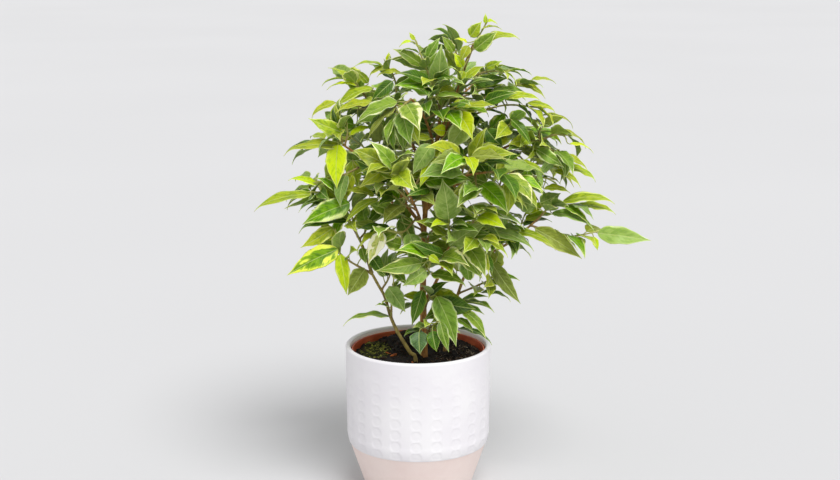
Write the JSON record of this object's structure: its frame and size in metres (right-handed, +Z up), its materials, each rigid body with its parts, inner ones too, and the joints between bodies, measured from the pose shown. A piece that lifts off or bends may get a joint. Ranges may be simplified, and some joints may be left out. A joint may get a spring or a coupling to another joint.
{
  "type": "potted variegated weeping fig",
  "caption": "Bushy variegated weeping fig with slim woody stems and cream-edged leaves, in a nursery pot inside a dimpled white ceramic cover pot.",
  "frame": {"origin": "middle of the cover pot's underside, on the surface it stands on", "axes": "+Z up along the pot, +X to the picture's right, and the side seen in the picture faces -Y"},
  "size_m": [0.363, 0.2523, 0.447],
  "materials": {
    "glaze": "white satin glaze over a bare, matte pink clay foot",
    "plastic": "terracotta-coloured nursery plastic",
    "soil": "dark potting soil, matte, with moss and bark chips",
    "bark": "thin brown bark, olive on the younger stems",
    "leaf": "green blades with cream and yellow-green edges, slightly glossy"
  },
  "bodies": {
    "root": {"cover_pot": "glaze", "nursery_pot": "plastic", "soil": "soil", "trunk": "bark", "left_stem": "bark", "right_stem": "bark", "spray_top": "leaf", "spray_top_left": "leaf", "spray_crown_front": "leaf", "spray_top_right": "leaf", "spray_left_top": "leaf", "spray_left_top_out": "leaf", "spray_high_left_back": "leaf", "spray_upper_front_left": "leaf", "spray_high_front_tip": "leaf", "spray_high_front_right": "leaf", "spray_back_top": "leaf", "spray_back_top_left": "leaf", "spray_right_top": "leaf", "spray_right_top_low": "leaf", "spray_right_top_back": "leaf", "spray_right_up": "leaf", "spray_right_tip": "leaf", "spray_right_tip_low": "leaf", "spray_right_front": "leaf", "spray_right_mid": "leaf", "spray_right_back": "leaf", "spray_right_high_tip": "leaf", "spray_right_high_back": "leaf", "spray_right_low_tip": "leaf", "spray_right_far": "leaf", "spray_right_front_low": "leaf", "spray_right_stem_low": "leaf", "spray_right_stem_front": "leaf", "spray_front_tip": "leaf", "spray_front_up": "leaf", "spray_front_left": "leaf", "spray_front_low_left": "leaf", "spray_front_right_up": "leaf", "spray_front_right_tip": "leaf", "spray_front_right_low": "leaf", "spray_front_right_side": "leaf", "spray_low_front_tip": "leaf", "spray_low_front_mid": "leaf", "spray_upper_left_tip": "leaf", "spray_upper_left_mid": "leaf", "spray_upper_left_low": "leaf", "spray_upper_left_back": "leaf", "spray_left_high_tip": "leaf", "spray_left_high_front": "leaf", "spray_left_high_back": "leaf", "spray_left_low_tip": "leaf", "spray_left_stem_low": "leaf", "spray_trunk_low": "leaf", "spray_foot": "leaf", "spray_back_left_tip": "leaf", "spray_back_left_mid": "leaf", "spray_back_tip": "leaf", "spray_back_mid": "leaf", "spray_back_right_tip": "leaf"}
  },
  "joints": []
}
